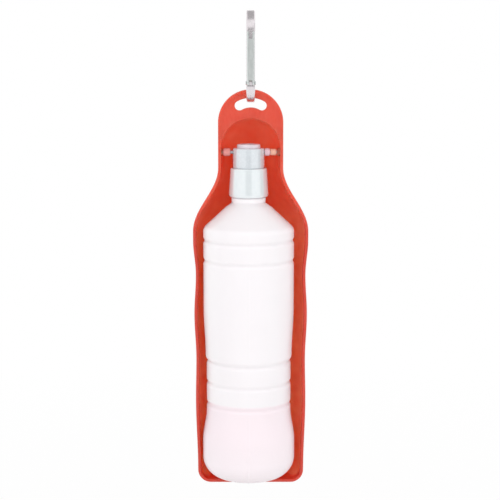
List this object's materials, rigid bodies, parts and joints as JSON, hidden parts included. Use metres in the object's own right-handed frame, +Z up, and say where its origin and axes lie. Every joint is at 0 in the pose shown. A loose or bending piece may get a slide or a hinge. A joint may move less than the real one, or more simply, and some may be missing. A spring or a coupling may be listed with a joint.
{
  "type": "dog travel water bottle",
  "caption": "Squeeze water bottle stowed in a long red drinking tray, folding out on two pins in the tray's domed head, hung from a small carabiner through a curved slot.",
  "frame": {"origin": "inside of the carabiner's top bow, where a belt loop or hook carries the object", "axes": "+Z up along the bottle, -Y towards the viewer on the tray's open side, +X to the viewer's right"},
  "size_m": [0.0792, 0.0715, 0.328],
  "materials": {
    "tray_red": "moulded polypropylene, semi-gloss red",
    "bottle_white": "translucent milky squeeze plastic",
    "cap_white": "smooth, light grey white",
    "gasket_grey": "soft, matt",
    "collar_grey": "smooth, light grey",
    "silicone": "soft, clear white",
    "pin_steel": "drawn wire",
    "spacer_pink": "smooth bead",
    "spacer_white": "smooth bead",
    "spacer_cream": "smooth bead",
    "aluminium": "polished flat bar",
    "gate_aluminium": "satin",
    "rivet_steel": "turned",
    "plunger": "smooth",
    "spring_steel": "wire"
  },
  "bodies": {
    "carabiner": {"carabiner_body": "aluminium", "gate_rivet": "rivet_steel"},
    "gate": {"carabiner_gate": "gate_aluminium", "gate_latch_pin": "rivet_steel", "gate_plunger": "plunger", "gate_spring": "spring_steel"},
    "tray": {"tray": "tray_red"},
    "cap": {"pivot_collar": "collar_grey", "screw_cap": "cap_white", "cap_gasket": "gasket_grey", "slit_valve": "silicone", "outlet_ring": "cap_white", "left_pivot_pin": "pin_steel", "right_pivot_pin": "pin_steel", "left_spacer": "spacer_pink", "right_inner_spacer": "spacer_white", "right_outer_spacer": "spacer_cream"},
    "bottle": {"bottle": "bottle_white"}
  },
  "joints": [
    {"name": "gate_open", "type": "hinge", "parent": "carabiner", "child": "gate", "pos_m": [0, -0.01165, -0.04549], "axis": [-1, 0, 0], "range_deg": [0, 25], "stiffness_Nm_per_rad": 0.02, "springref_deg": -22.92},
    {"name": "tray_swing", "type": "hinge", "parent": "carabiner", "child": "tray", "pos_m": [0, 0, -0.046], "axis": [1, 0, 0], "range_deg": [-30, 75]},
    {"name": "bottle_fold", "type": "hinge", "parent": "tray", "child": "cap", "pos_m": [0, 0.00375, -0.0929], "axis": [-1, 0, 0], "range_deg": [0, 120]},
    {"name": "bottle_unscrew", "type": "hinge", "parent": "cap", "child": "bottle", "pos_m": [-0.0014, 0.00375, -0.1176], "axis": [0, 0, -1], "range_deg": [0, 450]}
  ]
}
